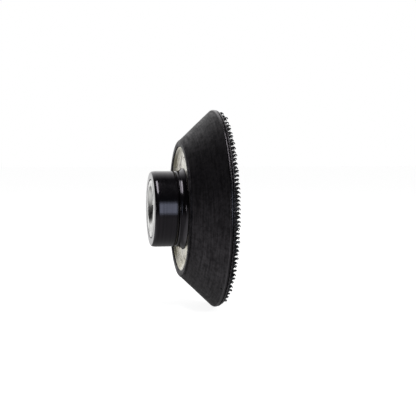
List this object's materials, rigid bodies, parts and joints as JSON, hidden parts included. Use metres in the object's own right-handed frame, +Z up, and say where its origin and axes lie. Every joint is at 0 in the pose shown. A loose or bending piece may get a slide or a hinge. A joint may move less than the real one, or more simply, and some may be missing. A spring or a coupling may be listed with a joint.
{
  "type": "orbital sander pad head",
  "caption": "Round backing pad of a small random-orbit sander, with a bearing hub, off-centre drive arbor and a hook face for sanding discs.",
  "frame": {"origin": "where the spindle axis of the sander leaves the arbor's outer face, at the mouth of the drive socket", "axes": "+X along the pad's axis from the hub towards the hook face, +Z up as it lies with its axis level; the pad's axis is parallel to X at z = -0.0012"},
  "size_m": [0.0273, 0.075, 0.075],
  "materials": {
    "black_paint": "black gloss stoved paint",
    "bright_steel": "bright satin steel",
    "ground_steel": "ground and polished bearing steel",
    "spring_steel": "phosphated spring steel",
    "zinc_steel": "zinc-plated steel",
    "nylon": "natural nylon",
    "felt": "oiled wool felt",
    "rubber": "matt moulded rubber",
    "foam": "soft polyurethane foam",
    "glue": "contact adhesive film",
    "hook_nylon": "black nylon hook tape"
  },
  "bodies": {
    "arbor": {"drive_arbor": "bright_steel", "arbor_screw": "zinc_steel", "arbor_washer": "zinc_steel", "bearing_inner_race": "ground_steel"},
    "ball_set": {"bearing_ball_1": "ground_steel", "bearing_ball_2": "ground_steel", "bearing_ball_3": "ground_steel", "bearing_ball_4": "ground_steel", "bearing_ball_5": "ground_steel", "bearing_ball_6": "ground_steel", "bearing_ball_7": "ground_steel", "bearing_cage": "nylon"},
    "pad": {"bearing_outer_race": "ground_steel", "bearing_shield_front": "ground_steel", "bearing_shield_rear": "ground_steel", "dust_seal": "felt", "hub_housing": "black_paint", "wave_washer": "spring_steel", "retaining_ring": "spring_steel", "backing_plate": "bright_steel", "clamp_washer": "zinc_steel", "locating_pin_1": "zinc_steel", "locating_pin_2": "zinc_steel", "ring_nut": "zinc_steel", "bearing_cover": "zinc_steel", "pad_skirt": "rubber", "foam_cushion": "foam", "tape_adhesive": "glue", "hook_tape": "hook_nylon"}
  },
  "joints": [
    {"name": "pad_spin", "type": "hinge", "parent": "arbor", "child": "pad", "pos_m": [0.0101, 0, -0.0012], "axis": [1, 0, 0], "continuous": true},
    {"name": "cage_spin", "type": "hinge", "parent": "arbor", "child": "ball_set", "pos_m": [0.0101, 0, -0.0012], "axis": [1, 0, 0], "continuous": true}
  ],
  "couplings": [
    {"joint": "cage_spin", "follows": "pad_spin", "ratio": 0.6323}
  ]
}
